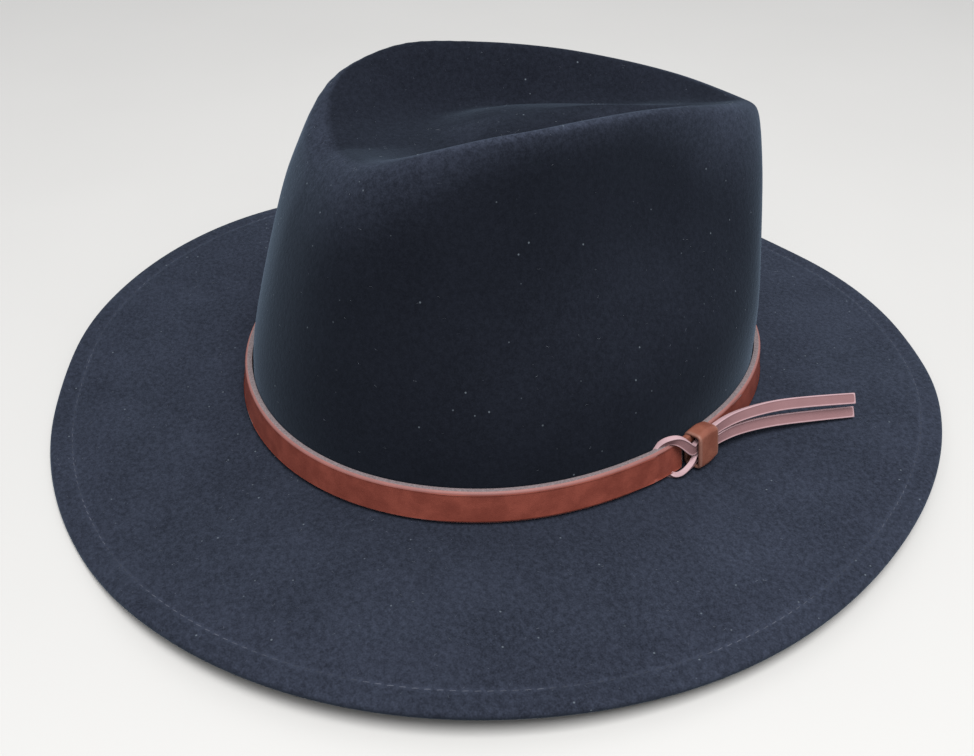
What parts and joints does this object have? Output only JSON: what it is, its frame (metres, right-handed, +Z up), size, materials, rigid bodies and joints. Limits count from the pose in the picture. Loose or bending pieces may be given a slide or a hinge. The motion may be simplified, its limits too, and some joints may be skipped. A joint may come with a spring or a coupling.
{
  "type": "felt hat",
  "caption": "Wide-brimmed felt hat with a teardrop crown, a stitched hem and a leather band knotted at the side.",
  "frame": {"origin": "middle of the hat's outline on the surface that it rests on", "axes": "+Z up, -Y to the front of the hat, +X to the wearer's left"},
  "size_m": [0.3264, 0.3444, 0.122],
  "materials": {
    "felt": "matt navy black wool felt with a short nap",
    "leather": "smooth reddish brown, satin",
    "lace": "smooth pinkish brown, satin"
  },
  "bodies": {
    "root": {"felt_body": "felt", "hatband": "leather", "band_keeper": "leather", "lace_upper": "lace", "lace_lower": "lace"}
  },
  "joints": []
}
